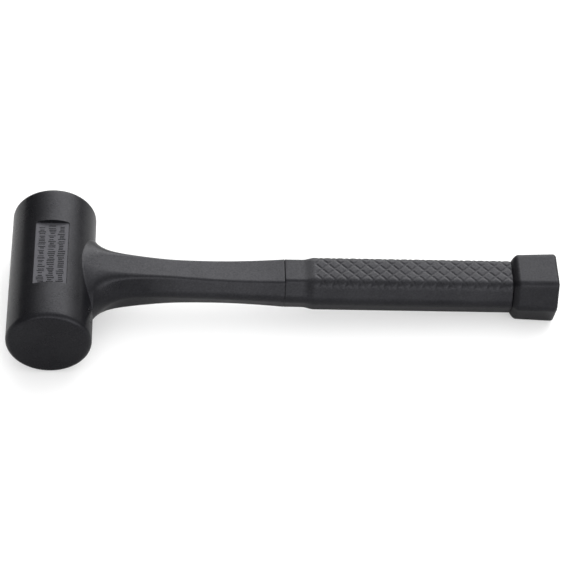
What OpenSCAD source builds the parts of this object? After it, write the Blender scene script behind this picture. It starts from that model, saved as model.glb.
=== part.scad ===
// Dead blow mallet: a cast urethane head and neck over a sealed steel canister of loose shot,
// a steel core rod that runs down the handle, a knurled grip sleeve and a flared end cap.
// Millimetres. The mallet lies on its side: +X runs from the head to the end cap, Y is the axis
// of the barrel-shaped head with a striking face at each end, and +Z is up, on the labelled side.
// The origin is at the middle of the whole mallet, level with the lowest line of the barrel.

/* [Head] */
// Diameter of the barrel-shaped head
head_d = 45; // [37.5:0.5:56]
// Length of the head from one striking face to the other
head_len = 92.5; // [77:0.5:112]
// Rounding of the rim around each striking face
rim_r = 3; // [1:0.25:4]
// Urethane around the canister
jacket_wall = 5; // [4.5:0.25:7]
// Urethane between the canister and each striking face
face_wall = 8.5; // [6:0.5:12]

/* [Label recess] */
// Recess across the barrel
label_w = 17.9; // [12:0.1:20]
// Recess along the barrel
label_len = 44.6; // [30:0.1:55]
// Depth of the recess at the crown of the barrel
label_depth = 2.3; // [1.2:0.1:3]

/* [Neck] */
// Head axis to the moulding joint between neck and grip
seam_x = 124; // [104:1:149]
// Head axis to the place where the top flat is narrowest
waist_x = 66; // [58:1:76]
// Head axis to the place where the neck is lowest
low_x = 95.5; // [84:0.5:102]
// Top flat of the neck where it is narrowest
waist_flat = 13.2; // [11:0.1:16]
// Width of the neck at its waist, across the side ridges
waist_w = 21.6; // [19:0.1:26]
// Height of the neck where it is lowest
waist_h = 17.9; // [17:0.1:21.5]
// Top flat of the neck at the joint with the grip
seam_flat = 17.1; // [14.5:0.1:20.5]
// Width of the neck at the joint, across the side ridges
seam_w = 26; // [22:0.1:31]
// Height of the neck at the joint
seam_h = 19.8; // [17:0.1:23.5]
// Width of the flare where it meets the barrel
flare_w = 53.3; // [45:0.1:64]
// Height of the flare where it meets the barrel
flare_h = 31.4; // [26.5:0.1:34]
// Top flat of the flare where it meets the barrel
flare_flat = 25.4; // [21:0.1:30]

/* [Grip] */
// Length of the grip sleeve, from the neck to the end cap
grip_len = 121.7; // [101.5:0.1:146]
// Smooth length of the grip before its knurling
smooth_len = 16; // [10:0.5:20]
// Top flat of the grip's smooth collar
smooth_flat = 15.6; // [13:0.1:18.5]
// Width of the smooth collar, across the side ridges
smooth_w = 26.2; // [22:0.1:31.5]
// Height of the smooth collar
smooth_h = 21.4; // [17.8:0.1:25.7]
// Height of the knurling over the smooth collar
knurl_h = 0.95; // [0.5:0.05:1.2]

/* [End cap] */
// Length of the end cap
cap_len = 24.4; // [20.5:0.1:29.5]
// Top flat of the end cap at its shoulder
cap_flat = 21.6; // [18:0.1:26]
// Width of the end cap at its shoulder, across the side ridges
cap_w = 32.6; // [28:0.1:39]
// Height of the end cap at its shoulder
cap_h = 29.4; // [24.5:0.1:35]
// How much larger the end cap grows towards its end, each way
cap_flare = 1; // [0:0.1:3]
// Length of the sloping shoulder
shoulder_len = 3.7; // [2:0.1:5]
// Rounding around the flat end
cap_round = 2; // [1:0.1:3]

/* [Canister] */
// Wall of the canister tube
tube_wall = 2; // [1.5:0.25:3]
// Thickness of each end plate over the end of the tube
end_flange = 1.5; // [1:0.25:2.5]
// Length of each end plate's spigot inside the tube
end_spigot = 2.5; // [2:0.25:4]
// Diameter of the studs that centre the canister in the casting
stud_d = 5; // [4:0.5:7]
// Urethane left over each stud
stud_cover = 1; // [0.5:0.25:1.5]

/* [Shot] */
// Diameter of one steel ball
ball_d = 6; // [5:0.25:7.2]
// Share of the canister's length that the settled shot fills
shot_fill = 0.6; // [0.5:0.01:0.72]

/* [Core] */
// Diameter of the steel core rod
rod_d = 10; // [8.5:0.5:12]
// Wall of the socket that holds the rod on the canister
socket_wall = 3; // [2:0.25:4]
// Length of the socket, from the canister
socket_len = 20; // [16:0.5:24]
// Diameter of the spring pin through socket and rod
pin_d = 4; // [3:0.5:5]
// Wall of the rolled spring pin
pin_wall = 0.8; // [0.5:0.1:1.2]
// Wall of the collars that centre the rod in the castings
collar_wall = 2; // [1.5:0.1:2.5]
// Length of each collar
collar_len = 8; // [6:0.5:12]
// Length of the neck's spigot inside the grip
spigot_len = 20; // [14:1:26]
// Thickness of the tail washer
washer_t = 2; // [1.5:0.5:3]
// Diameter of the tail washer
washer_d = 17; // [15:0.5:19]
// Tail nut across its flats
nut_af = 16; // [14:0.5:17]
// Thickness of the tail nut
nut_t = 8; // [6:0.5:10]
// Rod end that stands out of the nut
rod_stub = 1.7; // [1:0.1:3]

/* [Fits] */
// Gap between a casting and the steel inside it
cast_gap = 0.05; // [0.02:0.01:0.2]
// Gap between one steel piece and another
steel_gap = 0.05; // [0.02:0.01:0.2]
// Gap between neighbouring balls, and between the balls and the canister
ball_gap = 0.15; // [0.1:0.05:0.3]

/* [Hidden] */

$fn = 96;
urethane = "#3c3d43";
grip_urethane = "#414248";
stud_urethane = "#54555c";
bare_steel = "#9a9da2";
zinc_steel = "#b4b8bd";
shot_steel = "#7d8086";

head_r = head_d / 2;
grip_end = seam_x + grip_len;
reach = grip_end + cap_len;
middle_x = (reach - head_r) / 2;
slice = 0.01; // extra length that carries a cut past the face it opens

// Canister
can_r = head_r - jacket_wall;
can_len = head_len - 2 * face_wall;
tube_len = can_len - 2 * end_flange;
tube_in_r = can_r - tube_wall;
shot_room = tube_len - 2 * end_spigot;

// Shot: layers stacked along the canister, each of rings of balls, the outermost ring at the wall
ball_r = ball_d / 2;
ball_pitch = ball_d + ball_gap;
layer_count = floor((shot_room * shot_fill - ball_d) / ball_pitch) + 1;
shot_start = -shot_room / 2 + ball_gap;
ball_reach = tube_in_r - ball_r - ball_gap;
ring_count = floor(ball_reach / ball_pitch) + 1;

// Core
rod_r = rod_d / 2;
rod_start = can_r + 1;
socket_r = rod_r + steel_gap + socket_wall;
socket_end = can_r + socket_len;
pin_x = can_r + socket_len * 0.6;
pin_len = 2 * socket_r - 1;
pin_slot = 0.8;
collar_r = rod_r + cast_gap + collar_wall;
neck_collar_x = (socket_end + seam_x) / 2;
grip_collar_1 = seam_x + spigot_len + (grip_len - spigot_len) * 0.35;
grip_collar_2 = seam_x + spigot_len + (grip_len - spigot_len) * 0.8;
washer_end = grip_end + washer_t;
nut_end = washer_end + nut_t;
rod_end = nut_end + rod_stub;

// Centring studs: four around the barrel at two places along it
stud_y = label_len / 2 + stud_d;
stud_len = jacket_wall - stud_cover;
STUD_ANGLES = [45, 135, 225, 315];

// Neck: where the flare leaves the crown of the barrel, and where it leaves its side
flare_top_x = sqrt(head_r * head_r - flare_h * flare_h / 4);
neck_start = flare_top_x - 3;
neck_spread = 1.35; // sets the rings closer together towards the head
edge_r = 1.4;
side_r = 7;
flare_edge_r = 3; // added to edge_r where the neck meets the barrel
CORNER_STEPS = 6;
NECK_STEPS = 26;

// Grip: length over which it rises to the knurling
rise_len = 5;
RISE_STEPS = 4;

// End cap: corner roundings of its section, and the small slope that ends its shoulder
cap_edge_r = 2;
cap_side_r = 5;
lip_len = 0.16 * shoulder_len;
lip_drop = 0.45;

function unit(a) = [cos(a), sin(a)];
function mix(a, b, t) = a + (b - a) * t;
function smooth(t) = t * t * (3 - 2 * t);
function clamp01(t) = max(0, min(1, t));

// A six-sided section: flats at top and bottom, two sloping faces on each side that meet in a
// ridge. Each corner is an arc from the direction of one face's normal to the next one's.
function slope_of(flat, w, h) = atan((w - flat) / h);
function corners(flat, w, h, er, sr) = let (t = slope_of(flat, w, h)) [
    [w / 2, 0, -t, t, sr],
    [flat / 2, h / 2, t, 90, er],
    [-flat / 2, h / 2, 90, 180 - t, er],
    [-w / 2, 0, 180 - t, 180 + t, sr],
    [-flat / 2, -h / 2, 180 + t, 270, er],
    [flat / 2, -h / 2, 270, 360 - t, er]
];
function arc_centre(c) = let (m = unit(c[2]), n = unit(c[3]))
    [c[0], c[1]] - c[4] * (m + n) / (1 + m * n);

// The point of an ellipse, a and b across, whose normal points along angle g
function oval_point(a, b, g) =
    [a * a * cos(g), b * b * sin(g)] / (2 * sqrt(a * a * pow(cos(g), 2) + b * b * pow(sin(g), 2)));

// One ring of points at x: the six-sided section, drawn towards an ellipse by the share oval
function ring(x, flat, w, h, er = edge_r, sr = side_r, oval = 0) = [
    for (c = corners(flat, w, h, er, sr))
        let (centre = arc_centre(c))
            for (i = [0 : CORNER_STEPS])
                let (g = mix(c[2], c[3], i / CORNER_STEPS),
                     p = mix(centre + c[4] * unit(g), oval_point(w, h, g), oval))
                    [x, p[0], p[1]]
];

// A closed solid through a list of rings that all have the same number of points
module loft(rings) {
    n = len(rings[0]);
    last = len(rings) - 1;
    points = [for (r = rings) for (p = r) p];
    start_face = [for (j = [0 : n - 1]) j];
    end_face = [for (j = [0 : n - 1]) last * n + n - 1 - j];
    side_faces = [
        for (i = [0 : last - 1])
            for (j = [0 : n - 1])
                let (a = i * n + j, b = i * n + (j + 1) % n, c = b + n, d = a + n)
                    for (f = [[a, d, c], [a, c, b]]) f
    ];
    polyhedron(points = points, faces = concat([start_face], side_faces, [end_face]));
}

// How far x is from one place to another, 0 to 1
function share(x, from, to) = clamp01((x - from) / (to - from));

// A neck size at x: it grows as a power of the distance from its smallest place, both ways
function neck_size(x, place, least, end_x, end, end_pow, seam, seam_pow) =
    least + (end - least) * pow(share(x, place, end_x), end_pow)
        + (seam - least) * pow(share(x, place, seam_x), seam_pow);
function neck_ring(x) =
    let (head = share(x, waist_x, flare_top_x))
        ring(x,
             neck_size(x, waist_x, waist_flat, flare_top_x, flare_flat, 1.8, seam_flat, 1.3),
             neck_size(x, waist_x, waist_w, head_r, flare_w, 5.1, seam_w, 1.3),
             neck_size(x, low_x, waist_h, flare_top_x, flare_h, 1.7, seam_h, 1.8),
             edge_r + flare_edge_r * pow(head, 2), side_r, pow(head, 3.8));

function grip_ring(x, rise) =
    ring(x, smooth_flat + knurl_h * rise, smooth_w + knurl_h * rise, smooth_h + 2 * knurl_h * rise);

function cap_ring(x, inset, flare) =
    ring(x, cap_flat + flare - inset, cap_w + flare - 2 * inset, cap_h + flare - 2 * inset,
         cap_edge_r, cap_side_r);

module place() {
    translate([-middle_x, 0, head_r]) children();
}

// A cylinder along X, from one x to another
module bar_x(r, x0, x1) {
    translate([x0, 0, 0]) rotate([0, 90, 0]) cylinder(r = r, h = x1 - x0);
}

// A cylinder along Y, from one y to another
module bar_y(r, y0, y1) {
    translate([0, y0, 0]) rotate([-90, 0, 0]) cylinder(r = r, h = y1 - y0);
}

module tube_x(r, bore, x0, x1) {
    difference() {
        bar_x(r, x0, x1);
        bar_x(bore, x0 - slice, x1 + slice);
    }
}

// The barrel: a cylinder along Y whose rims are quarter rounds
module barrel() {
    rotate([90, 0, 0])
        rotate_extrude()
            difference() {
                translate([0, -head_len / 2]) square([head_r, head_len]);
                for (end = [0, 1])
                    mirror([0, end])
                        translate([head_r - rim_r, head_len / 2 - rim_r])
                            difference() {
                                square(rim_r + slice);
                                circle(r = rim_r);
                            }
            }
}

module studs(extra_r, extra_len) {
    for (y = [-stud_y, stud_y])
        for (a = STUD_ANGLES)
            translate([0, y, 0])
                rotate([0, a, 0])
                    translate([0, 0, can_r])
                        cylinder(r = stud_d / 2 + extra_r, h = stud_len + extra_len);
}

module head_jacket() {
    color(urethane)
        place()
            difference() {
                union() {
                    barrel();
                    loft([for (i = [0 : NECK_STEPS])
                        neck_ring(mix(neck_start, seam_x, pow(i / NECK_STEPS, neck_spread)))]);
                    bar_x(collar_r, seam_x - 1, seam_x + spigot_len);
                }
                bar_y(can_r + cast_gap, -can_len / 2 - cast_gap, can_len / 2 + cast_gap);
                studs(cast_gap, cast_gap);
                bar_x(socket_r + cast_gap, 0, socket_end + cast_gap);
                bar_x(rod_r + cast_gap, 0, seam_x + spigot_len + slice);
                bar_x(collar_r + cast_gap, neck_collar_x - collar_len / 2 - cast_gap,
                      neck_collar_x + collar_len / 2 + cast_gap);
                translate([-label_w / 2, -label_len / 2, head_r - label_depth])
                    cube([label_w, label_len, label_depth + slice]);
            }
}

module grip_sleeve() {
    knurl_x = seam_x + smooth_len;
    color(grip_urethane)
        place()
            difference() {
                loft([
                    grip_ring(seam_x, 0),
                    for (i = [0 : RISE_STEPS])
                        grip_ring(knurl_x + rise_len * (i / RISE_STEPS - 1), smooth(i / RISE_STEPS)),
                    grip_ring(grip_end, 1)
                ]);
                bar_x(rod_r + cast_gap, seam_x - slice, grip_end + slice);
                bar_x(collar_r + cast_gap, seam_x - slice, seam_x + spigot_len + cast_gap);
                for (x = [grip_collar_1, grip_collar_2])
                    bar_x(collar_r + cast_gap, x - collar_len / 2 - cast_gap, x + collar_len / 2 + cast_gap);
            }
}

module end_cap() {
    shoulder_x = grip_end + shoulder_len;
    round_x = reach - cap_round;
    color(urethane)
        place()
            difference() {
                loft([
                    grip_ring(grip_end, 1),
                    cap_ring(shoulder_x - lip_len, lip_drop, 0),
                    cap_ring(shoulder_x, 0, 0),
                    cap_ring(round_x, 0, cap_flare),
                    for (a = [15 : 15 : 90])
                        cap_ring(round_x + cap_round * sin(a), cap_round * (1 - cos(a)), cap_flare)
                ]);
                bar_x(washer_d / 2 + cast_gap, grip_end - slice, washer_end);
                bar_x(rod_r + cast_gap, grip_end, rod_end + cast_gap);
                hexagon(nut_af + 2 * cast_gap, washer_end - slice, nut_end + cast_gap);
            }
}

// A hexagonal bar along X with flats at its sides
module hexagon(af, x0, x1) {
    translate([x0, 0, 0])
        rotate([0, 90, 0]) cylinder(r = af / sqrt(3), h = x1 - x0, $fn = 6);
}

module canister_tube() {
    color(bare_steel)
        place()
            difference() {
                bar_y(can_r, -tube_len / 2, tube_len / 2);
                bar_y(tube_in_r, -tube_len / 2 - slice, tube_len / 2 + slice);
            }
}

// A stepped plate: its flange lies on the end of the tube, its spigot fits inside
module canister_end() {
    bar_y(can_r, tube_len / 2, can_len / 2);
    bar_y(tube_in_r - steel_gap, shot_room / 2, tube_len / 2 + slice);
}

module canister_end_near() {
    color(zinc_steel)
        place() mirror([0, 1, 0]) canister_end();
}

module canister_end_far() {
    color(zinc_steel)
        place() canister_end();
}

module centring_studs() {
    color(stud_urethane)
        place()
            difference() {
                studs(0, 0);
                bar_y(can_r + cast_gap, -can_len / 2, can_len / 2);
            }
}

// One layer: rings of as many balls as fit side by side, and a single ball where a ring has no room
module shot_layer() {
    for (k = [0 : ring_count - 1])
        let (r = ball_reach - k * ball_pitch,
             balls = r < ball_pitch / 2 ? 1 : floor(180 / asin(ball_pitch / 2 / r)),
             seat = balls == 1 ? 0 : r)
            for (i = [0 : balls - 1])
                rotate([0, i * 360 / balls, 0])
                    translate([seat, 0, 0])
                        sphere(r = ball_r, $fn = 32);
}

module steel_shot() {
    color(shot_steel)
        place()
            for (layer = [0 : layer_count - 1])
                translate([0, shot_start + ball_r + layer * ball_pitch, 0])
                    shot_layer();
}

// A tube that stands on the canister's side, its foot cut to the canister's curve
module core_socket() {
    color(bare_steel)
        place()
            difference() {
                tube_x(socket_r, rod_r + steel_gap, 0, socket_end);
                bar_y(can_r, -socket_r - 1, socket_r + 1);
                translate([pin_x, 0, 0])
                    bar_y(pin_d / 2, -socket_r - 1, socket_r + 1);
            }
}

module core_rod() {
    color(zinc_steel)
        place()
            difference() {
                bar_x(rod_r, rod_start, rod_end);
                translate([pin_x, 0, 0])
                    bar_y(pin_d / 2, -rod_r - 1, rod_r + 1);
            }
}

module spring_pin() {
    color(shot_steel)
        place()
            translate([pin_x, 0, 0])
                difference() {
                    bar_y(pin_d / 2 - steel_gap / 2, -pin_len / 2, pin_len / 2);
                    bar_y(pin_d / 2 - pin_wall, -pin_len / 2 - slice, pin_len / 2 + slice);
                    translate([-pin_slot / 2, -pin_len / 2 - slice, 0])
                        cube([pin_slot, pin_len + 2 * slice, pin_d]);
                }
}

module rod_collars() {
    color(stud_urethane)
        place()
            for (x = [neck_collar_x, grip_collar_1, grip_collar_2])
                tube_x(collar_r, rod_r + cast_gap, x - collar_len / 2, x + collar_len / 2);
}

module tail_washer() {
    color(zinc_steel)
        place() tube_x(washer_d / 2, rod_r + steel_gap, grip_end, washer_end);
}

module tail_nut() {
    color(zinc_steel)
        place()
            difference() {
                hexagon(nut_af, washer_end, nut_end);
                bar_x(rod_r + steel_gap, washer_end - slice, nut_end + slice);
            }
}

head_jacket();
grip_sleeve();
end_cap();
canister_tube();
canister_end_near();
canister_end_far();
centring_studs();
steel_shot();
core_socket();
core_rod();
spring_pin();
rod_collars();
tail_washer();
tail_nut();
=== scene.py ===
"""Dead blow mallet: the visible castings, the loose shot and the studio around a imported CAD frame."""

import math

import bpy
import numpy as np
from bpy.props import FloatProperty, FloatVectorProperty, IntProperty, PointerProperty
from mathutils import Matrix, Vector


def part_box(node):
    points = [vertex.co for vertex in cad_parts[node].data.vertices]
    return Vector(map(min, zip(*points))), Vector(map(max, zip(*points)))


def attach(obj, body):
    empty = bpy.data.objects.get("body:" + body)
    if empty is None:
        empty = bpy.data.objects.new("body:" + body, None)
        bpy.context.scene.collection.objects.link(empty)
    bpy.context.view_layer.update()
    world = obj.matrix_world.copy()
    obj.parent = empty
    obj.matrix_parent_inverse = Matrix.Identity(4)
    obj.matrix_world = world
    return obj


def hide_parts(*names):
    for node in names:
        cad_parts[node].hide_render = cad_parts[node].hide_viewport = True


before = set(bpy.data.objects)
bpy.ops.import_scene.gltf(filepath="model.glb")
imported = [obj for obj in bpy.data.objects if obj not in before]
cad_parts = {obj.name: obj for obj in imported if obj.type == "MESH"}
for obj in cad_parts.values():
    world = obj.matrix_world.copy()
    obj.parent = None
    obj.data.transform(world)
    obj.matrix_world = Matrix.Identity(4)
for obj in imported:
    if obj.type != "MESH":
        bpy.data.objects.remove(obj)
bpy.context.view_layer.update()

bl_info = {
    "name": "Dead Blow Mallet",
    "version": (1, 0, 0),
    "blender": (4, 5, 0),
    "location": "3D View > Sidebar > Mallet",
    "description": "Builds a dead blow mallet's castings, shot and finishes around its CAD frame",
    "category": "Add Mesh",
}

MM = 0.001
JACKET_LO, JACKET_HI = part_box("head_jacket")
GRIP_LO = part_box("grip_sleeve")[0]
CAP_LO, CAP_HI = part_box("end_cap")
TUBE_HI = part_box("canister_tube")[1]
END_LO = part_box("canister_end_near")[0]
SHOT_LO, SHOT_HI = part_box("steel_shot")
ROD_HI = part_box("core_rod")[1]
SOCKET_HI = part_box("core_socket")[1]
COLLAR_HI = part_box("rod_collars")[1]
WASHER_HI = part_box("tail_washer")[1]
NUT_LO, NUT_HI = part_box("tail_nut")

HEAD_R = (JACKET_HI.z - JACKET_LO.z) / 2
HEAD_LEN = JACKET_HI.y - JACKET_LO.y
HEAD_X = JACKET_LO.x + HEAD_R
AXIS_Z = JACKET_LO.z + HEAD_R
SEAM_X = GRIP_LO.x - HEAD_X
GRIP_END = CAP_LO.x - HEAD_X
REACH = CAP_HI.x - HEAD_X
SPIGOT_END = JACKET_HI.x - HEAD_X
CAST_GAP = 0.05 * MM

# Corner radii of the handle's section, at its side ridges and at the edges of its flats, and how much
# they change from the neck to the flare, from the collar to the knurling and from there to the cap
RIDGE_R = 7 * MM
CAP_RIDGE_DROP = 1.2 * MM
NECK_EDGE_R = 1.9 * MM
FLARE_EDGE_GROWTH = 2.6 * MM
COLLAR_EDGE_R = 2.1 * MM
KNURL_EDGE_GROWTH = 2 * MM
CAP_EDGE_DROP = 0.7 * MM
KNURL_FLAT_GROWTH = 1.6 * MM

# The label recess: the width of its sloping wall and the radius of its corners
RECESS_WALL = 0.3 * MM
RECESS_CORNER = 0.8 * MM

# Close-set mesh lines beside a wall: their step, and how far they reach on both sides of it
FINE_STEP = 0.06 * MM
FINE_REACH = 0.42 * MM


# ---------------------------------------------------------------- sizes and colours a user may change

class HeadSizes(bpy.types.PropertyGroup):
    rim_r: FloatProperty(name="Rim rounding", description="Radius around each striking face",
                         default=3.0 * MM, unit="LENGTH")
    label_w: FloatProperty(name="Recess width", description="Label recess across the barrel",
                           default=17.9 * MM, unit="LENGTH")
    label_len: FloatProperty(name="Recess length", description="Label recess along the barrel",
                             default=44.6 * MM, unit="LENGTH")
    label_depth: FloatProperty(name="Recess depth", description="Depth at the crown of the barrel",
                               default=2.3 * MM, unit="LENGTH")
    bar_rows: IntProperty(name="Bar rows", description="Rows of plain raised bars in the recess", default=3)


class NeckSizes(bpy.types.PropertyGroup):
    waist_x: FloatProperty(name="Waist", description="Head axis to where the top flat is narrowest",
                           default=66 * MM, unit="LENGTH")
    low_x: FloatProperty(name="Low place", description="Head axis to where the neck is lowest",
                         default=95.5 * MM, unit="LENGTH")
    waist_flat: FloatProperty(name="Waist flat", description="Top flat at the waist",
                              default=13.2 * MM, unit="LENGTH")
    waist_w: FloatProperty(name="Waist width", description="Width at the waist",
                           default=21.6 * MM, unit="LENGTH")
    waist_h: FloatProperty(name="Least height", description="Height where the neck is lowest",
                           default=17.9 * MM, unit="LENGTH")
    seam_flat: FloatProperty(name="Joint flat", description="Top flat at the joint with the grip",
                             default=17.1 * MM, unit="LENGTH")
    seam_w: FloatProperty(name="Joint width", description="Width at the joint",
                          default=26 * MM, unit="LENGTH")
    seam_h: FloatProperty(name="Joint height", description="Height at the joint",
                          default=19.8 * MM, unit="LENGTH")
    flare_flat: FloatProperty(name="Flare flat", description="Top flat where the neck meets the barrel",
                              default=25.4 * MM, unit="LENGTH")
    flare_w: FloatProperty(name="Flare width", description="Width where the neck meets the barrel",
                           default=53.3 * MM, unit="LENGTH")
    flare_h: FloatProperty(name="Flare height", description="Height where the neck meets the barrel",
                           default=31.4 * MM, unit="LENGTH")


class GripSizes(bpy.types.PropertyGroup):
    smooth_len: FloatProperty(name="Smooth collar", description="Grip length before the knurling",
                              default=16.2 * MM, unit="LENGTH")
    flat: FloatProperty(name="Top flat", description="Top flat of the grip",
                        default=15.6 * MM, unit="LENGTH")
    width: FloatProperty(name="Width", description="Width across the side ridges",
                         default=26.2 * MM, unit="LENGTH")
    height: FloatProperty(name="Height", description="Height of the smooth collar",
                          default=21.4 * MM, unit="LENGTH")
    knurl_h: FloatProperty(name="Knurl height", description="Height of the knurled field over the collar",
                           default=0.95 * MM, unit="LENGTH")
    swell_len: FloatProperty(name="Swell", description="Length over which the collar swells to the knurling",
                             default=6.5 * MM, unit="LENGTH")
    groove_d: FloatProperty(name="Groove depth", description="Depth of the grooves between diamonds",
                            default=0.24 * MM, unit="LENGTH")
    groove_w: FloatProperty(name="Groove width", description="Half width of the grooves at the top",
                            default=1.05 * MM, unit="LENGTH")
    diamond_x: FloatProperty(name="Diamond length", description="Diamond pitch along the handle",
                             default=6.87 * MM, unit="LENGTH")
    diamond_y: FloatProperty(name="Diamond width", description="Diamond pitch across the handle",
                             default=7.37 * MM, unit="LENGTH")
    overhang: FloatProperty(name="Overhang", description="How far the diamonds run down the side",
                            default=2.2 * MM, unit="LENGTH")


class CapSizes(bpy.types.PropertyGroup):
    flat: FloatProperty(name="Top flat", description="Top flat at the shoulder",
                        default=21.6 * MM, unit="LENGTH")
    width: FloatProperty(name="Width", description="Width across the side ridges",
                         default=32.6 * MM, unit="LENGTH")
    height: FloatProperty(name="Height", description="Height at the shoulder",
                          default=29.4 * MM, unit="LENGTH")
    flare: FloatProperty(name="Flare", description="Growth towards the end", default=1 * MM, unit="LENGTH")
    shoulder: FloatProperty(name="Shoulder", description="Length of the sloping shoulder",
                            default=4 * MM, unit="LENGTH")
    end_r: FloatProperty(name="End rounding", description="Radius around the flat end",
                         default=1.9 * MM, unit="LENGTH")


class ShotSizes(bpy.types.PropertyGroup):
    ball_d: FloatProperty(name="Ball", description="Diameter of one steel ball",
                          default=6 * MM, unit="LENGTH")
    gap: FloatProperty(name="Gap", description="Gap between neighbouring balls",
                       default=0.15 * MM, unit="LENGTH")
    grid: IntProperty(name="Ball grid", description="Squares along each edge of a ball's six patches",
                      default=4)


class Finishes(bpy.types.PropertyGroup):
    urethane: FloatVectorProperty(name="Urethane", description="Charcoal cast urethane", subtype="COLOR",
                                  default=(0.0046, 0.0046, 0.0056))
    recess: FloatVectorProperty(name="Recess floor", description="Chalky floor of the label recess",
                                subtype="COLOR", default=(0.045, 0.0443, 0.050))
    sheen: FloatVectorProperty(name="Sheen", description="Tint of the urethane's reflections",
                               subtype="COLOR", default=(0.93, 0.93, 1.0))
    steel: FloatVectorProperty(name="Drawn steel", description="Plain drawn steel", subtype="COLOR",
                               default=(0.36, 0.37, 0.38))
    zinc: FloatVectorProperty(name="Zinc plate", description="Bright zinc plating", subtype="COLOR",
                              default=(0.62, 0.64, 0.66))
    shot: FloatVectorProperty(name="Shot", description="Dark steel balls", subtype="COLOR",
                              default=(0.24, 0.245, 0.25))


class Studio(bpy.types.PropertyGroup):
    azimuth: FloatProperty(name="Azimuth", description="Camera's turn around the mallet",
                           default=math.radians(-4.75), subtype="ANGLE")
    elevation: FloatProperty(name="Elevation", description="Camera's height as an angle",
                             default=math.radians(47.25), subtype="ANGLE")
    roll: FloatProperty(name="Roll", description="Camera's turn about its own line of sight",
                        default=math.radians(4.45), subtype="ANGLE")
    distance: FloatProperty(name="Distance", description="Camera to the middle of the mallet",
                            default=1.2616, unit="LENGTH")
    lens: FloatProperty(name="Lens", description="Focal length on a 36 mm sensor, in millimetres",
                        default=150.53)
    aim: FloatVectorProperty(name="Aim", size=2, unit="LENGTH", default=(-2.4 * MM, 0.87 * MM),
                             description="Point that the camera looks at, from a place near the middle "
                             "of the mallet's length, to the right and up in the view")


# ---------------------------------------------------------------- mesh helpers

def grid_faces(rows, columns, wrap_rows=False):
    """Quads between neighbouring rows of a grid whose columns close into rings."""
    last = rows if wrap_rows else rows - 1
    i, j = np.meshgrid(np.arange(last), np.arange(columns), indexing="ij")
    below, above, right = i * columns, (i + 1) % rows * columns, (j + 1) % columns
    return np.stack([below + j, below + right, above + right, above + j], axis=-1).reshape(-1, 4)


def patch_faces(cells):
    """Quads of a square grid of points with this many cells along each edge."""
    i, j = np.meshgrid(np.arange(cells), np.arange(cells), indexing="ij")
    a = (i * (cells + 1) + j).ravel()
    return np.stack([a, a + cells + 1, a + cells + 2, a + 1], axis=-1)


def put_mesh(name, points, faces, sharp_deg=38.0):
    """An object at the origin from points in metres and a list of face arrays, shaded smooth.

    Edges where the surface turns by more than sharp_deg stay sharp.
    """
    mesh = bpy.data.meshes.new(name)
    mesh.from_pydata(np.asarray(points).reshape(-1, 3), [], [f for block in faces for f in block.tolist()])
    mesh.validate()
    mesh.shade_smooth()
    mesh.set_sharp_from_angle(angle=math.radians(sharp_deg))
    piece = bpy.data.objects.new(name, mesh)
    bpy.context.scene.collection.objects.link(piece)
    return piece


def ring_solid(name, x, y, z, poles=True, sharp_deg=38.0):
    """A closed solid from rows of rings: x, y and z are (rows, columns) arrays about the handle axis.

    With poles, each end row closes on the mean of its points; without, the last row joins the first.
    """
    rows, columns = x.shape
    points = np.stack([x + HEAD_X, y, z + AXIS_Z], axis=-1).reshape(-1, 3)
    faces = [grid_faces(rows, columns, wrap_rows=not poles)]
    if poles:
        ends = np.stack([points[:columns].mean(axis=0), points[-columns:].mean(axis=0)])
        j = np.arange(columns)
        nxt = (j + 1) % columns
        first, last = rows * columns, rows * columns + 1
        base = (rows - 1) * columns
        faces.append(np.stack([nxt, j, np.full(columns, first)], axis=-1))
        faces.append(np.stack([base + j, base + nxt, np.full(columns, last)], axis=-1))
        points = np.concatenate([points, ends])
    return put_mesh(name, points, faces, sharp_deg)


def round_bar(name, axis, radius, start, end, columns=96):
    """A plain closed cylinder about the head centre along "x" or "y", used to hollow a casting."""
    g = np.linspace(0, 2 * math.pi, columns, endpoint=False)[None, :]
    along = np.array([start, end])[:, None] + 0 * g
    a, b = radius * np.cos(g) + 0 * along, radius * np.sin(g) + 0 * along
    return ring_solid(name, along, a, b) if axis == "x" else ring_solid(name, b, along, a)


def combine(piece, other, operation):
    """piece joined with or cut by other, which is used up."""
    cut = piece.modifiers.new("combine", "BOOLEAN")
    cut.operation = operation
    cut.solver = "MANIFOLD"
    cut.object = other
    bpy.context.view_layer.update()
    done = bpy.data.meshes.new_from_object(piece.evaluated_get(bpy.context.evaluated_depsgraph_get()))
    piece.modifiers.clear()
    if not len(done.polygons):
        raise RuntimeError(f"{operation} left nothing of {piece.name}")
    piece.data = done
    bpy.data.objects.remove(other)


# ---------------------------------------------------------------- the six-sided handle section

# Corners in order of their normals: far ridge, top far, top near, near ridge, bottom near, bottom far.
# Each row holds the signs of y and z, the normal's start and end as a base angle and a share of the
# side faces' slope, and whether the corner is a side ridge.
CORNERS = np.array([
    [1, 0, 0, -1, 0, 1, 1],
    [1, 1, 0, 1, 90, 0, 0],
    [-1, 1, 90, 0, 180, -1, 0],
    [-1, 0, 180, -1, 180, 1, 1],
    [-1, -1, 180, 1, 270, 0, 0],
    [1, -1, 270, 0, 360, -1, 0],
], float)


def section_columns(arc_steps, side_steps, flat_steps):
    """Corner number, share of its arc and share of the straight run after it, for each column."""
    runs = [side_steps, flat_steps, side_steps, side_steps, flat_steps, side_steps]
    corner, arc, straight = [], [], []
    for c, steps in enumerate(runs):
        corner += [c] * (arc_steps + steps)
        arc += list(np.linspace(0, 1, arc_steps + 1)) + [1.0] * (steps - 1)
        straight += [0.0] * (arc_steps + 1) + list(np.arange(1, steps) / steps)
    return np.array(corner), np.array(arc), np.array(straight)


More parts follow.
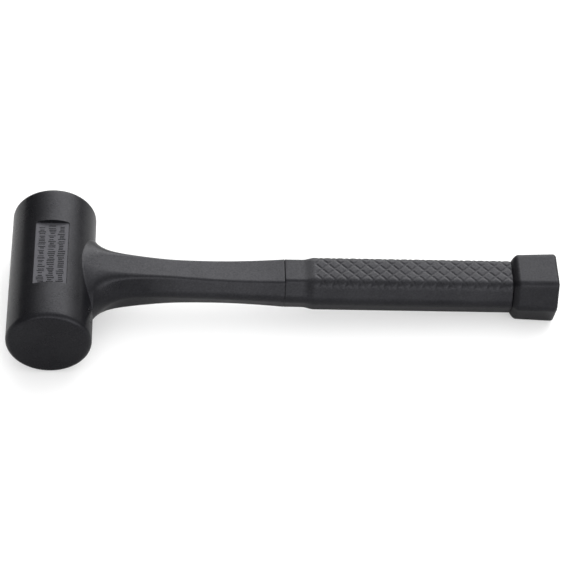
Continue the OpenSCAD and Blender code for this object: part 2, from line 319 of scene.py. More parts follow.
def section(columns, flat, width, height, edge_r, side_r, oval=0.0):
    """Points and outward normals of the handle's section, as (rows, columns) arrays y, z, ny, nz.

    A flat at top and bottom and two sloping faces each side; each corner is an arc that turns from one
    face's normal to the next. oval draws every point towards the ellipse point with the same normal.
    """
    corner, arc, straight = columns
    slope = np.arctan2(width - flat, height)
    angles, centres = [], []
    for c in (corner, (corner + 1) % 6):
        sy, sz, base0, k0, base1, k1, ridge = CORNERS[c].T
        a0, a1 = np.radians(base0) + k0 * slope, np.radians(base1) + k1 * slope
        r = np.where(ridge > 0, side_r, edge_r)
        half = np.where(ridge > 0, width, flat) / 2
        lean = 1 + np.cos(a1 - a0)
        centres.append((sy * half - r * (np.cos(a0) + np.cos(a1)) / lean,
                        sz * height / 2 - r * (np.sin(a0) + np.sin(a1)) / lean, r))
        angles.append((a0, a1))
    g = angles[0][0] + (angles[0][1] - angles[0][0]) * arc
    ny, nz = np.cos(g), np.sin(g)
    (y0, z0, r0), (y1, z1, r1) = centres
    y = (y0 + r0 * ny) * (1 - straight) + (y1 + r1 * ny) * straight
    z = (z0 + r0 * nz) * (1 - straight) + (z1 + r1 * nz) * straight
    size = 2 * np.sqrt((width * ny) ** 2 + (height * nz) ** 2)
    y = y + (width ** 2 * ny / size - y) * oval
    z = z + (height ** 2 * nz / size - z) * oval
    return y, z, ny, nz


def edge_rows(length, radius, steps=5):
    """Distance back from an end and inset there, for a quarter-round edge, ending at the end itself."""
    a = np.linspace(0, math.pi / 2, steps)
    return length - radius + radius * np.sin(a), radius * (1 - np.cos(a))


def smooth(t):
    """Rises from 0 to 1 with level ends."""
    t = np.clip(t, 0, 1)
    return t * t * (3 - 2 * t)


# ---------------------------------------------------------------- head and neck

def graded(lo, hi, step, walls=(), fine=FINE_STEP, reach=FINE_REACH):
    """Values from lo to hi at about step apart, with close-set ones on both sides of each wall."""
    near = np.concatenate([w + np.arange(-reach, reach + fine / 2, fine) for w in walls]) if walls else []
    plain = np.linspace(lo, hi, int(round((hi - lo) / step)) + 1)
    keep = [v for v in plain if all(abs(v - w) > reach + 0.3 * step for w in walls)]
    return np.unique(np.concatenate([keep, near, [lo, hi]]))


def recess_share(x, y, sizes):
    """How far the surface has sunk to the recess floor, 0 to 1, from a rounded rectangle's distance."""
    qx = np.abs(x) - sizes.label_w / 2 + RECESS_CORNER
    qy = np.abs(y) - sizes.label_len / 2 + RECESS_CORNER
    beyond = np.hypot(np.maximum(qx, 0), np.maximum(qy, 0)) + np.minimum(np.maximum(qx, qy), 0)
    return smooth((RECESS_CORNER - beyond) / RECESS_WALL)


def barrel(sizes):
    """The barrel: a profile of face, quarter-round rim, straight side, rim and face, turned about Y.

    Within the label recess the side drops to a flat floor.
    """
    half, rim = HEAD_LEN / 2, sizes.rim_r
    a = np.linspace(0, math.pi / 2, 12)[1:-1]
    wall_y = sizes.label_len / 2 - RECESS_WALL / 2
    side = graded(-half + rim, half - rim, 1.6 * MM, (-wall_y, wall_y))
    inner = np.linspace(0.15, 1, 7) * (HEAD_R - rim)
    r = np.concatenate([inner, HEAD_R - rim + rim * np.sin(a), np.full(side.size, HEAD_R),
                        HEAD_R - rim + rim * np.cos(a), inner[::-1]])
    y = np.concatenate([np.full(inner.size, -half), -half + rim * (1 - np.cos(a)), side,
                        half - rim * (1 - np.sin(a)), np.full(inner.size, half)])
    wall = math.asin((sizes.label_w / 2 - RECESS_WALL / 2) / HEAD_R)
    turn = graded(-math.pi, math.pi, math.radians(1.6), (-wall, wall), fine=FINE_STEP / HEAD_R,
                  reach=FINE_REACH / HEAD_R)[:-1]
    x = r[:, None] * np.sin(turn)[None, :]
    z = r[:, None] * np.cos(turn)[None, :]
    y = y[:, None] + 0 * x
    floor = HEAD_R - sizes.label_depth
    sunk = np.where((z > floor) & (np.abs(turn)[None, :] < 1), recess_share(x, y, sizes), 0)
    z = z + (floor - z) * sunk
    return ring_solid("barrel", x, y, z, sharp_deg=50)


def share(x, start, end):
    """How far x is from one place to another, 0 to 1."""
    return np.clip((x - start) / (end - start), 0, 1)


def neck_sizes(x, neck):
    """Flat, width, height, edge radius, ridge radius and ovalness of the neck at x.

    Each size grows as a power of the distance from its smallest place, towards the head and the joint.
    """
    top_x = math.sqrt(HEAD_R ** 2 - neck.flare_h ** 2 / 4)

    def size(place, least, head_x, head, seam, head_pow, seam_pow):
        return (least + (head - least) * share(x, place, head_x) ** head_pow
                + (seam - least) * share(x, place, SEAM_X) ** seam_pow)

    flat = size(neck.waist_x, neck.waist_flat, top_x, neck.flare_flat, neck.seam_flat,
                head_pow=1.8, seam_pow=1.3)
    width = size(neck.waist_x, neck.waist_w, HEAD_R, neck.flare_w, neck.seam_w,
                 head_pow=5.1, seam_pow=1.3)
    height = size(neck.low_x, neck.waist_h, top_x, neck.flare_h, neck.seam_h,
                  head_pow=1.7, seam_pow=1.8)
    head = share(x, neck.waist_x, top_x)
    edge_r = NECK_EDGE_R + FLARE_EDGE_GROWTH * head ** 2
    oval = head ** 3.8
    return flat, width, height, edge_r, RIDGE_R, oval


def neck_solid(neck):
    """The flared neck with its spigot.

    Each column is a fibre that runs from just inside the barrel to the joint with the grip; the place
    where it crosses the barrel is found by halving, so the rows follow the flare's outline. A fine lip
    stands along that outline, the joint end is rounded, and the spigot is a plain round bar.
    """
    columns = section_columns(10, 10, 24)
    halvings, rows, crowding, joint_r = 30, 150, 1.9, 0.3 * MM
    lip_h, lip_w = 0.22 * MM, 0.55 * MM
    inside, outside = np.zeros(columns[0].size), np.full(columns[0].size, 40 * MM)
    for _ in range(halvings):
        middle = (inside + outside) / 2
        y, z, _, _ = section(columns, *neck_sizes(middle, neck))
        within = np.hypot(middle, z) < HEAD_R
        inside, outside = np.where(within, middle, inside), np.where(within, outside, middle)
    start = inside[None, :]
    v = np.linspace(0, 1, rows)[:, None] ** crowding
    end_x, inset = edge_rows(SEAM_X, joint_r)
    last = end_x[0]
    x = np.concatenate([start - 1.5 * MM, start - 0.5 * MM, start + (last - start) * v,
                        end_x[1:, None] + 0 * start])
    inset = np.concatenate([np.zeros(x.shape[0] - inset.size + 1), inset[1:]])[:, None]
    y, z, ny, nz = section(columns, *neck_sizes(x, neck))
    lip = lip_h * np.exp(-((x - start) / lip_w) ** 2)
    y, z = y + (lip - inset) * ny, z + (lip - inset) * nz
    turn = np.arctan2(z[-1:], y[-1:])
    spigot_r = COLLAR_HI.z - AXIS_Z
    spigot_x = np.array([SEAM_X, SPIGOT_END])[:, None]
    x = np.concatenate([x, spigot_x + 0 * turn])
    y = np.concatenate([y, spigot_r * np.cos(turn) + 0 * spigot_x])
    z = np.concatenate([z, spigot_r * np.sin(turn) + 0 * spigot_x])
    return ring_solid("neck", x, y, z, sharp_deg=50)


def label_bars(sizes):
    """Rows of plain raised bars on the recess floor: boxes, a little smaller at the top than at the foot."""
    rng = np.random.default_rng(7)
    lengths, widths, spaces = [0.45, 0.6, 0.85], [0.45, 0.62, 0.76], [0.5, 0.6, 0.7, 1.2]
    lead, tail = 2.0 * MM, 2.4 * MM
    floor = HEAD_R - sizes.label_depth
    row_w = sizes.label_w / (sizes.bar_rows + 0.45)
    boxes = []
    for row in range(sizes.bar_rows):
        x = (row - (sizes.bar_rows - 1) / 2) * row_w
        y = -sizes.label_len / 2 + lead
        while y < sizes.label_len / 2 - tail:
            length = rng.choice(lengths) * MM
            width = rng.choice(widths) * row_w
            boxes.append((x + rng.uniform(-0.06, 0.06) * row_w, y + length / 2, width / 2, length / 2))
            y += length + rng.choice(spaces) * MM
    x, y, half_w, half_l = np.array(boxes).T[:, :, None]
    sx, sy = np.array([-1, 1, 1, -1])[None, :], np.array([-1, -1, 1, 1])[None, :]
    rise = np.array([-0.15, 0.12, 0.22]) * MM
    shrink = np.array([0.0, 0.04, 0.14]) * MM
    levels = [np.stack([x + sx * (half_w - s) + HEAD_X, y + sy * (half_l - s),
                        0 * x + 0 * sx + floor + h + AXIS_Z], axis=-1) for h, s in zip(rise, shrink)]
    points = np.stack(levels, axis=1).reshape(len(boxes), 12, 3)
    ring = np.array([[0, 1, 5, 4], [1, 2, 6, 5], [2, 3, 7, 6], [3, 0, 4, 7]])
    box_faces = np.concatenate([ring, ring + 4, [[3, 2, 1, 0], [8, 9, 10, 11]]])
    faces = (box_faces[None] + 12 * np.arange(len(boxes))[:, None, None]).reshape(-1, 4)
    return put_mesh("label_bars", points, [faces], sharp_deg=30)


# ---------------------------------------------------------------- grip and end cap

def knurl(x, y, z, grip, first):
    """Depth of the knurling's grooves at points of the sleeve; first is where the diamonds begin.

    Two families of straight V grooves cross at even pitch and leave low diamonds. They begin at the
    points of the first whole diamonds. On top they fade out a little way down the sides; underneath
    they stop short of the edges.
    """
    soft_start, soft_side, margin, edge_drop = 0.6 * MM, 0.7 * MM, 1 * MM, 0.25 * MM
    along, across = (x - first) / grip.diamond_x, y / grip.diamond_y
    u, v = along + across + 0.5, along - across + 0.5
    per_metre = math.hypot(1 / grip.diamond_x, 1 / grip.diamond_y)
    to_u, to_v = np.abs(u - np.round(u)) / per_metre, np.abs(v - np.round(v)) / per_metre
    cut = 1 - smooth(to_u / grip.groove_w) * smooth(to_v / grip.groove_w)
    centre = (np.floor(u) + np.floor(v)) / 2
    begins = smooth((x - first + soft_start) / (2 * soft_start))
    down = np.maximum(grip.height / 2 - edge_drop - z, 0)
    fade = np.where(z > 0, 1 - smooth((down - grip.overhang + soft_side) / (2 * soft_side)),
                    smooth((grip.flat / 2 - margin - np.abs(y)) / margin))
    return np.where(centre > -0.25, grip.groove_d * cut, 0) * begins * fade


def grip_solid(grip):
    """The grip sleeve: a smooth collar that swells into the knurled length, with a stepped bore."""
    columns = section_columns(14, 12, 58)
    start_r, end_r, row = 0.35 * MM, 0.25 * MM, 0.3 * MM
    start_x, start_in = edge_rows(0, start_r)
    end_x, end_in = edge_rows(GRIP_END, end_r)
    knurl_x = SEAM_X + grip.smooth_len
    fine_x = knurl_x - 0.7 * MM
    plain = np.linspace(SEAM_X + start_r, fine_x - row, 14)[1:]
    knurled = np.arange(fine_x, end_x[0], row)
    x = np.concatenate([SEAM_X - start_x[::-1], plain, knurled, end_x])[:, None]
    inset = np.concatenate([start_in[::-1], np.zeros(plain.size + knurled.size), end_in])[:, None]
    risen = smooth((x - knurl_x + grip.swell_len) / grip.swell_len)
    y, z, ny, nz = section(columns, grip.flat + KNURL_FLAT_GROWTH * risen, grip.width, grip.height,
                           COLLAR_EDGE_R + KNURL_EDGE_GROWTH * risen, RIDGE_R)
    x = x + 0 * y
    out = grip.knurl_h * risen - knurl(x, y, z, grip, knurl_x) - inset
    y, z = y + out * ny, z + out * nz
    turn = np.arctan2(z[-1:], y[-1:])
    wide, tight = COLLAR_HI.z - AXIS_Z + CAST_GAP, ROD_HI.z - AXIS_Z + CAST_GAP
    bore_x = np.array([GRIP_END, SPIGOT_END + CAST_GAP, SPIGOT_END + CAST_GAP, SEAM_X])[:, None]
    bore_r = np.array([tight, tight, wide, wide])[:, None]
    x = np.concatenate([x, bore_x + 0 * turn])
    y = np.concatenate([y, bore_r * np.cos(turn)])
    z = np.concatenate([z, bore_r * np.sin(turn)])
    return ring_solid("knurled_grip", x, y, z, poles=False, sharp_deg=60)


def cap_solid(cap, grip):
    """The end cap: from the grip's section over a rounded slope to its own, flaring to a flat end.

    Inside, it follows the tail washer, the nut and the end of the rod.
    """
    columns = section_columns(12, 10, 24)
    shoulder = GRIP_END + cap.shoulder
    t = np.linspace(0, 1, 16)
    slope_x = GRIP_END + cap.shoulder * t
    body = np.linspace(shoulder, REACH - cap.end_r, 12)
    end_x, end_in = edge_rows(REACH, cap.end_r, 10)
    x = np.concatenate([slope_x, body[1:], end_x[1:]])[:, None]
    rounding = 1.9
    rise = 1 - (1 - share(x, GRIP_END, shoulder)) ** rounding
    grow = share(x, shoulder, REACH - cap.end_r) * cap.flare
    foot_flat, foot_h = grip.flat + KNURL_FLAT_GROWTH, grip.height + 2 * grip.knurl_h
    inset = np.concatenate([np.zeros(x.size - end_in.size + 1), end_in[1:]])[:, None]
    y, z, ny, nz = section(
        columns, foot_flat + (cap.flat + grow - foot_flat) * rise,
        grip.width + (cap.width + grow - grip.width) * rise,
        foot_h + (cap.height + grow - foot_h) * rise,
        COLLAR_EDGE_R + KNURL_EDGE_GROWTH - CAP_EDGE_DROP * rise, RIDGE_R - CAP_RIDGE_DROP * rise)
    y, z = y - inset * ny, z - inset * nz
    x = x + 0 * y
    turn = np.arctan2(z[:1], y[:1])
    washer_r = WASHER_HI.z - AXIS_Z + CAST_GAP
    flat_r = (NUT_HI.y - NUT_LO.y) / 2
    nut_r = flat_r / np.cos((turn + math.pi / 6) % (math.pi / 3) - math.pi / 6)
    rod_r = ROD_HI.z - AXIS_Z + CAST_GAP
    washer_x, nut_x = WASHER_HI.x - HEAD_X, NUT_HI.x - HEAD_X
    bore = [(GRIP_END, washer_r), (washer_x, washer_r), (washer_x, nut_r + CAST_GAP),
            (nut_x, nut_r + CAST_GAP), (nut_x, rod_r), (ROD_HI.x - HEAD_X + CAST_GAP, rod_r)]
    bore_x = np.concatenate([bx + 0 * turn for bx, _ in bore[::-1]])
    bore_r = np.concatenate([br + 0 * turn for _, br in bore[::-1]])
    x = np.concatenate([bore_x, x])
    y = np.concatenate([bore_r * np.cos(turn), y])
    z = np.concatenate([bore_r * np.sin(turn), z])
    return ring_solid("handle_cap", x, y, z, sharp_deg=40)


# ---------------------------------------------------------------- shot

def ball_centres(shot):
    """Centres in layers: rings of as many balls as fit side by side, the outermost ring at the wall."""
    pitch = shot.ball_d + shot.gap
    reach = SHOT_HI.x - HEAD_X - shot.ball_d / 2
    seats = []
    for ring in range(int(reach / pitch) + 1):
        r = reach - ring * pitch
        count = 1 if r < pitch / 2 else int(math.pi / math.asin(pitch / 2 / r))
        a = 2 * math.pi * np.arange(count) / count
        r = 0 if count == 1 else r
        seats.append(np.stack([HEAD_X + r * np.cos(a), 0 * a, AXIS_Z - r * np.sin(a)], axis=-1))
    layers = int(round((SHOT_HI.y - SHOT_LO.y - shot.ball_d) / pitch)) + 1
    rise = SHOT_LO.y + shot.ball_d / 2 + pitch * np.arange(layers)
    centres = np.concatenate(seats)[None] + np.array([0, 1, 0]) * rise[:, None, None]
    return centres.reshape(-1, 1, 3)


def cube_ball(radius, n):
    """A ball from the square grids of a cube's six sides, every point drawn in to the radius."""
    across = np.tan(np.linspace(-math.pi / 4, math.pi / 4, n + 1))
    u, v = np.meshgrid(across, across, indexing="ij")
    sides = []
    for axis in range(3):
        for sign in (1, -1):
            side = np.stack([np.full(u.shape, float(sign)), sign * u, v], axis=-1)
            sides.append(np.roll(side, axis, axis=-1))
    ball = np.stack(sides).reshape(-1, 3)
    ball *= radius / np.linalg.norm(ball, axis=1, keepdims=True)
    faces = (patch_faces(n)[None] + (n + 1) ** 2 * np.arange(6)[:, None, None]).reshape(-1, 4)
    return ball, faces


def shot_balls(shot):
    """The charge of balls, as one piece."""
    ball, faces = cube_ball(shot.ball_d / 2, shot.grid)
    points = ball_centres(shot) + ball[None]
    faces = (faces[None] + len(ball) * np.arange(len(points))[:, None, None]).reshape(-1, 4)
    piece = put_mesh("shot_balls", points, [faces], sharp_deg=80)
    weld = piece.modifiers.new("weld", "WELD")
    weld.merge_threshold = 0.01 * MM
    return piece


# ---------------------------------------------------------------- materials

def new_material(name, colour, roughness, metallic=0.0):
    """A Principled material with its plain numbers on the shader's own sockets."""
    material = bpy.data.materials.new(name)
    material.use_nodes = True
    tree = material.node_tree
    shader = tree.nodes["Principled BSDF"]
    shader.inputs["Base Color"].default_value = (*colour, 1)
    shader.inputs["Roughness"].default_value = roughness
    shader.inputs["Metallic"].default_value = metallic
    material.diffuse_color = (*colour, 1)
    return material, tree, shader


def node(tree, kind, links=(), **values):
    """A node with its attributes and inputs set: links maps input names to sockets."""
    new = tree.nodes.new(kind)
    for key, value in values.items():
        if key in new.inputs:
            new.inputs[key].default_value = value
        else:
            setattr(new, key, value)
    for key, socket in dict(links).items():
        tree.links.new(socket, new.inputs[key])
    return new


def noise(tree, vector, scale, detail=3.0, rough=0.55):
    """Noise over Object coordinates."""
    texture = node(tree, "ShaderNodeTexNoise", {"Vector": vector}, Scale=scale, Detail=detail,
                   Roughness=rough)
    return texture.outputs["Fac"]


def fit(tree, value, low, high, to_low, to_high):
    """value taken from one range to another and held at the ends."""
    mapped = node(tree, "ShaderNodeMapRange", {"Value": value})
    for key, number in (("From Min", low), ("From Max", high), ("To Min", to_low), ("To Max", to_high)):
        mapped.inputs[key].default_value = number
    return mapped.outputs["Result"]


def calc(tree, operation, *terms):
    """A Math node's result from sockets and plain numbers, in the order of its inputs."""
    result = node(tree, "ShaderNodeMath", operation=operation)
    for place, term in zip(result.inputs, terms):
        if isinstance(term, bpy.types.NodeSocket):
            tree.links.new(term, place)
        else:
            place.default_value = term
    return result.outputs["Value"]


def bump(tree, height, strength, distance, **before):
    """A Bump node's normal, over an earlier one where it is given as Normal."""
    made = node(tree, "ShaderNodeBump", {"Height": height, **before}, Strength=strength, Distance=distance)
    return made.outputs["Normal"]


def recess_mask(tree, where, sizes):
    """1 on the floor of the label recess: under the crown, inside the barrel's round, near its middle."""
    spare, floor_spare, round_spare, crown = 0.2 * MM, 0.05 * MM, 0.25 * MM, 0.7
    centred = node(tree, "ShaderNodeVectorMath", operation="SUBTRACT")
    tree.links.new(where, centred.inputs[0])
    centred.inputs[1].default_value = (HEAD_X, 0, AXIS_Z)
    x, y, z = node(tree, "ShaderNodeSeparateXYZ", {"Vector": centred.outputs["Vector"]}).outputs
    flat = node(tree, "ShaderNodeCombineXYZ", {"X": x, "Z": z})
    radius = node(tree, "ShaderNodeVectorMath", operation="LENGTH")
    tree.links.new(flat.outputs["Vector"], radius.inputs[0])
    inside = calc(tree, "LESS_THAN", calc(tree, "ABSOLUTE", x), sizes.label_w / 2 + spare)
    for operation, value, limit in (
            ("LESS_THAN", calc(tree, "ABSOLUTE", y), sizes.label_len / 2 + spare),
            ("GREATER_THAN", z, HEAD_R * crown),
            ("LESS_THAN", z, HEAD_R - sizes.label_depth + floor_spare),
            ("LESS_THAN", radius.outputs["Value"], HEAD_R - round_spare)):
        inside = calc(tree, "MULTIPLY", inside, calc(tree, operation, value, limit))
    return inside


def dusty_colour(tree, where, base):
    """The base colour, with paler dust that lies in broad patches."""
    paler = 2.4
    dust = fit(tree, noise(tree, where, 420, 6, 0.75), 0.56, 0.74, 0, 1)
    patches = fit(tree, noise(tree, where, 90, 3), 0.45, 0.65, 0.1, 1)
    tone = node(tree, "ShaderNodeMix", {"Factor": calc(tree, "MULTIPLY", dust, patches)},
                data_type="RGBA")
    tone.inputs["A"].default_value = (*base, 1)
    tone.inputs["B"].default_value = (*[c * paler for c in base], 1)
    return tone.outputs["Result"]


def urethane_material(name, colours, roughness, grain, shine=(0.9, 0.9), recess=None):
    """Cast urethane: a charcoal body with clouded sheen, dusty scuffs, a fine moulded grain and ripples.

    roughness and shine, a scale for the reflections, have one value at the barrel and one along the
    handle. recess is the head's sizes, for the head alone, whose label recess has a chalky floor.
    """
    material, tree, shader = new_material(name, colours.urethane, roughness[0])
    where = node(tree, "ShaderNodeTexCoord").outputs["Object"]
    along = node(tree, "ShaderNodeSeparateXYZ", {"Vector": where}).outputs["X"]
    near, far = HEAD_X + 18 * MM, HEAD_X + 75 * MM
    clouds = noise(tree, where, 45, 5, 0.6)
    colour = dusty_colour(tree, where, colours.urethane)
    rough = calc(tree, "ADD", fit(tree, along, near, far, *roughness),
                 fit(tree, clouds, 0.3, 0.72, -0.04, 0.07))
    if recess:
        mask = recess_mask(tree, where, recess)
        chalk = node(tree, "ShaderNodeMix", {"Factor": mask, "A": colour}, data_type="RGBA")
        chalk.inputs["B"].default_value = (*colours.recess, 1)
        colour = chalk.outputs["Result"]
        rough = calc(tree, "MULTIPLY_ADD", mask, 0.08, rough)
    speckle = fit(tree, noise(tree, where, 1100, 3, 0.7), 0.25, 0.75, -0.1, 0.1)
    sheen = calc(tree, "ADD", fit(tree, clouds, 0.3, 0.72, 0.24, 0.34), speckle)
    level = calc(tree, "MULTIPLY", sheen, fit(tree, along, near, far, *shine))
    tree.links.new(colour, shader.inputs["Base Color"])
    tree.links.new(rough, shader.inputs["Roughness"])
    tree.links.new(level, shader.inputs["Specular IOR Level"])
    shader.inputs["Specular Tint"].default_value = (*colours.sheen, 1)
    fine = bump(tree, noise(tree, where, 2600, 2), grain, 0.03 * MM)
    soft = bump(tree, noise(tree, where, 85, 2), 0.3, 0.2 * MM, Normal=fine)
    tree.links.new(soft, shader.inputs["Normal"])
    return material


def steel_material(name, colour, roughness, streak_axis):
    """Drawn or plated steel: fine streaks along one axis and slight blooming."""
    material, tree, shader = new_material(name, colour, roughness, 1.0)
    where = node(tree, "ShaderNodeTexCoord").outputs["Object"]
    across_streaks, along_streaks = 900.0, 25.0
    scale = [across_streaks] * 3
    scale["xyz".index(streak_axis)] = along_streaks
    drawn = node(tree, "ShaderNodeMapping", {"Vector": where})
    drawn.inputs["Scale"].default_value = scale
    streaks = noise(tree, drawn.outputs["Vector"], 1.0, 3)
    bloom = noise(tree, where, 70, 4)
    tone = node(tree, "ShaderNodeMix", {"Factor": fit(tree, bloom, 0.35, 0.7, 0, 1)}, data_type="RGBA")
    tone.inputs["A"].default_value = (*[c * 0.85 for c in colour], 1)
    tone.inputs["B"].default_value = (*[min(1, c * 1.1) for c in colour], 1)
    tree.links.new(tone.outputs["Result"], shader.inputs["Base Color"])
    rough = fit(tree, streaks, 0.3, 0.7, roughness - 0.08, roughness + 0.12)
    tree.links.new(rough, shader.inputs["Roughness"])
    tree.links.new(bump(tree, streaks, 0.2, 0.02 * MM), shader.inputs["Normal"])
    return material


def dress(piece, material):
    """Gives a piece or a CAD node one material."""
    piece.data.materials.clear()
    piece.data.materials.append(material)


# ---------------------------------------------------------------- operators

class MALLET_OT_head_jacket(bpy.types.Operator):
    """Cast the head, flare and neck in one hollow piece, with its recess and bars"""
    bl_idname = "mallet.head_jacket"
    bl_label = "Head Jacket"

    def execute(self, context):
        scene = context.scene
        piece = barrel(scene.mallet_head)
        combine(piece, neck_solid(scene.mallet_neck), "UNION")
        tube_r, socket_r, rod_r = (top.z - AXIS_Z + CAST_GAP for top in (TUBE_HI, SOCKET_HI, ROD_HI))
        for room in (("canister_room", "y", tube_r, END_LO.y - CAST_GAP, -END_LO.y + CAST_GAP),
                     ("socket_room", "x", socket_r, 0, SOCKET_HI.x - HEAD_X + CAST_GAP),
                     ("rod_room", "x", rod_r, 0, SPIGOT_END + MM)):
            combine(piece, round_bar(*room), "DIFFERENCE")
        piece.name = "cast_head"
        piece.data.name = "cast_head"
        piece.data.shade_smooth()
        piece.data.set_sharp_from_angle(angle=math.radians(32))
        material = urethane_material("cast urethane", scene.mallet_finishes, (0.28, 0.36), 0.5,
                                     (0.6, 0.9), scene.mallet_head)
        dress(piece, material)
        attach(piece, "mallet")
        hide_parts("head_jacket")
        bars = label_bars(scene.mallet_head)
        material = urethane_material("bar urethane", scene.mallet_finishes, (0.34, 0.34), 0.2,
                                     (0.68, 0.68))
        dress(bars, material)
        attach(bars, "mallet")
        return {"FINISHED"}


class MALLET_OT_grip(bpy.types.Operator):
    """Cast the grip sleeve with its diamond knurling"""
    bl_idname = "mallet.grip"
    bl_label = "Grip Sleeve"

    def execute(self, context):
        scene = context.scene
        piece = grip_solid(scene.mallet_grip)
        material = urethane_material("grip urethane", scene.mallet_finishes, (0.38, 0.38), 0.4, (0.84, 0.84))
        dress(piece, material)
        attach(piece, "mallet")
        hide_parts("grip_sleeve")
        return {"FINISHED"}


class MALLET_OT_end_cap(bpy.types.Operator):
    """Cast the flared cap at the end of the handle"""
    bl_idname = "mallet.end_cap"
    bl_label = "End Cap"

    def execute(self, context):
        scene = context.scene
        piece = cap_solid(scene.mallet_cap, scene.mallet_grip)
        material = urethane_material("cap urethane", scene.mallet_finishes, (0.39, 0.39), 0.5, (0.71, 0.71))
        dress(piece, material)
        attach(piece, "mallet")
        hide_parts("end_cap")
        return {"FINISHED"}


class MALLET_OT_inner_steel(bpy.types.Operator):
    """Finish the steel core, the canister and the spacers inside the castings"""
    bl_idname = "mallet.inner_steel"
    bl_label = "Inner Steel"

    def execute(self, context):
        colours = context.scene.mallet_finishes
        drawn = steel_material("drawn steel", colours.steel, 0.34, "y")
        plated = steel_material("zinc plate", colours.zinc, 0.26, "x")
        dark = steel_material("shot steel", colours.shot, 0.3, "z")
        spacer = urethane_material("spacer urethane", colours, (0.55, 0.55), 0.6)
        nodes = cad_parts
        for name, material in (("canister_tube", drawn), ("core_socket", drawn),
                               ("canister_end_near", plated), ("canister_end_far", plated),
                               ("core_rod", plated), ("tail_washer", plated), ("tail_nut", plated),
                               ("spring_pin", dark), ("centring_studs", spacer), ("rod_collars", spacer)):
            dress(nodes[name], material)
        balls = shot_balls(context.scene.mallet_shot)
        dress(balls, dark)
        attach(balls, "shot_charge")
        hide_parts("steel_shot")
        return {"FINISHED"}


class MALLET_OT_stage(bpy.types.Operator):
    """Set the pale floor, the soft lights and the camera"""
    bl_idname = "mallet.stage"
    bl_label = "Stage"

    def execute(self, context):
        scene = context.scene
        studio = scene.mallet_studio
        lay_floor()
        light_stage(scene)
        aim_camera(scene, studio)
        return {"FINISHED"}


# ---------------------------------------------------------------- stage

# The lamps: azimuth, elevation and spread in degrees, and strength. Azimuths count from straight
# behind towards the end cap.
SKY = [(0, 28, 12, 4.0), (25, 28, 12, 2.8), (35, 45, 20, 2.9), (0, 45, 20, 0.8), (0, 85, 22, 1.6),
       (180, 45, 20, 0.9), (135, 8, 18, 4.4), (180, 8, 18, 3.4), (-100, 35, 22, 0.5), (100, 35, 22, 0.5)]
FLOOR_GLOW = 0.4
BACKDROP = 1.0


def lay_floor():
    """A pale floor that touches both the barrel and the lowest corner of the end cap.

    It glows for the camera's own rays only, so it looks near white and lights nothing.
    """
    half, cells, corner_in, gap = 6, 24, 2.2 * MM, 0.1 * MM
    corner_x, corner_z = REACH - corner_in, CAP_LO.z - AXIS_Z
    reach = math.hypot(corner_x, corner_z)
    tilt = math.asin(HEAD_R / reach) + math.atan2(corner_z, corner_x)
    grid = np.linspace(-half, half, cells + 1)
    x, y = np.meshgrid(grid, grid, indexing="ij")
    touch_x, touch_z = HEAD_X + HEAD_R * math.sin(tilt), AXIS_Z - HEAD_R * math.cos(tilt)
    z = touch_z + math.tan(tilt) * (x - touch_x) - gap
    floor = put_mesh("floor", np.stack([x, y, z], axis=-1), [patch_faces(cells)])
    material, tree, shader = new_material("pale floor", (0.56, 0.56, 0.56), 0.9)
    shader.inputs["Specular IOR Level"].default_value = 0.0
    shader.inputs["Emission Color"].default_value = (1, 1, 1, 1)
    seen = node(tree, "ShaderNodeLightPath").outputs["Is Camera Ray"]
    tree.links.new(fit(tree, seen, 0, 1, 0, FLOOR_GLOW), shader.inputs["Emission Strength"])
    where = node(tree, "ShaderNodeTexCoord").outputs["Object"]
    tree.links.new(bump(tree, noise(tree, where, 900, 2), 0.05, 0.1 * MM), shader.inputs["Normal"])
    dress(floor, material)


def sky_lamp(tree, heading, azimuth, elevation, spread, strength):
    """A soft round glow in the surround, which falls off from its middle with the angle, as a bell curve.

    The glow is strength times e to the power of the cosine of that angle less one, over spread squared.
    """
    a, e = math.radians(azimuth), math.radians(elevation)
    near = node(tree, "ShaderNodeVectorMath", operation="DOT_PRODUCT")
    tree.links.new(heading, near.inputs[0])
    near.inputs[1].default_value = (math.sin(a) * math.cos(e), math.cos(a) * math.cos(e), math.sin(e))
    sharp = 1 / math.radians(spread) ** 2
    power = calc(tree, "MULTIPLY_ADD", near.outputs["Value"], sharp, -sharp)
    return calc(tree, "MULTIPLY", calc(tree, "EXPONENT", power), strength)


def light_stage(scene):
    """A studio surround of soft lamps: strong ones behind and low in front, mild ones above and beside.

    A view that looks past the floor sees plain white in place of the lamps.
    """
    world = bpy.data.worlds.new("surround")
    world.use_nodes = True
    tree = world.node_tree
    heading = node(tree, "ShaderNodeTexCoord").outputs["Generated"]
    total, *others = [sky_lamp(tree, heading, *lamp) for lamp in SKY]
    for glow in others:
        total = calc(tree, "ADD", total, glow)
    seen = node(tree, "ShaderNodeLightPath").outputs["Is Camera Ray"]
    shown = node(tree, "ShaderNodeMix", {"Factor": seen, "A": total}, data_type="FLOAT")
    shown.inputs["B"].default_value = BACKDROP
    background = tree.nodes["Background"]
    background.inputs["Color"].default_value = (1, 1, 1, 1)
    tree.links.new(shown.outputs["Result"], background.inputs["Strength"])
    scene.world = world
    scene.view_settings.view_transform = "Standard"


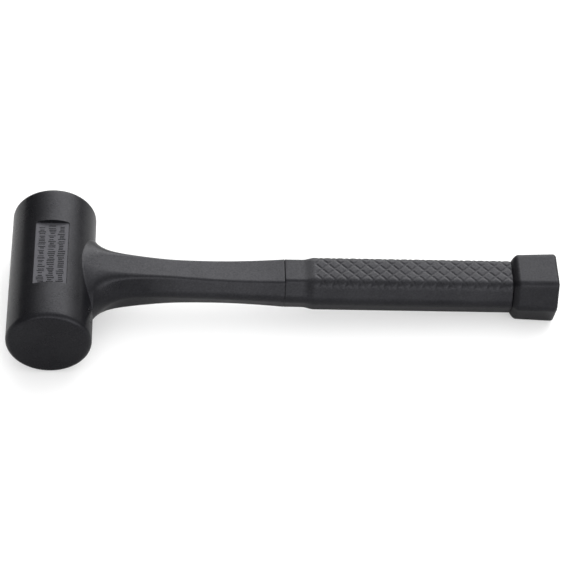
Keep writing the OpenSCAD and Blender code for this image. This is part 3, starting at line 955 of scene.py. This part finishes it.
def aim_camera(scene, studio):
    """A long lens on a place near the mallet's middle, turned by azimuth, elevation and roll."""
    from_head = 125 * MM
    a, e, roll = studio.azimuth, studio.elevation, studio.roll
    back = Vector((math.sin(a) * math.cos(e), -math.cos(a) * math.cos(e), math.sin(e)))
    level = Vector((math.cos(a), math.sin(a), 0))
    up = back.cross(level)
    right = level * math.cos(roll) + up * math.sin(roll)
    top = up * math.cos(roll) - level * math.sin(roll)
    lens = bpy.data.cameras.new("camera")
    lens.sensor_width = 36
    lens.lens = studio.lens
    lens.clip_start, lens.clip_end = 0.05, 50
    holder = bpy.data.objects.new("camera", lens)
    middle = Vector((HEAD_X + from_head, 0, AXIS_Z)) + right * studio.aim[0] + top * studio.aim[1]
    turn = Matrix((right, top, back)).transposed().to_4x4()
    holder.matrix_world = Matrix.Translation(middle + back * studio.distance) @ turn
    scene.collection.objects.link(holder)
    scene.camera = holder


# ---------------------------------------------------------------- panel and registration

class MALLET_PT_panel(bpy.types.Panel):
    """Sizes, colours and build steps of the mallet"""
    bl_label = "Dead Blow Mallet"
    bl_idname = "MALLET_PT_panel"
    bl_space_type = "VIEW_3D"
    bl_region_type = "UI"
    bl_category = "Mallet"

    def draw(self, context):
        for name in GROUPS:
            group = getattr(context.scene, name)
            box = self.layout.box()
            box.label(text=type(group).__name__)
            for key in group.bl_rna.properties.keys():
                if key not in ("rna_type", "name"):
                    box.prop(group, key)
        for step in STEPS:
            self.layout.operator(step.bl_idname)


GROUPS = {"mallet_head": HeadSizes, "mallet_neck": NeckSizes, "mallet_grip": GripSizes,
          "mallet_cap": CapSizes, "mallet_shot": ShotSizes, "mallet_finishes": Finishes,
          "mallet_studio": Studio}
STEPS = [MALLET_OT_head_jacket, MALLET_OT_grip, MALLET_OT_end_cap, MALLET_OT_inner_steel, MALLET_OT_stage]


def register():
    for cls in (*GROUPS.values(), *STEPS, MALLET_PT_panel):
        bpy.utils.register_class(cls)
    for name, group in GROUPS.items():
        setattr(bpy.types.Scene, name, PointerProperty(type=group))


def unregister():
    for name in GROUPS:
        delattr(bpy.types.Scene, name)
    for cls in (MALLET_PT_panel, *STEPS[::-1], *list(GROUPS.values())[::-1]):
        bpy.utils.unregister_class(cls)


def main():
    register()
    bpy.ops.mallet.head_jacket()
    bpy.ops.mallet.grip()
    bpy.ops.mallet.end_cap()
    bpy.ops.mallet.inner_steel()
    bpy.ops.mallet.stage()


if __name__ == "__main__":
    main()
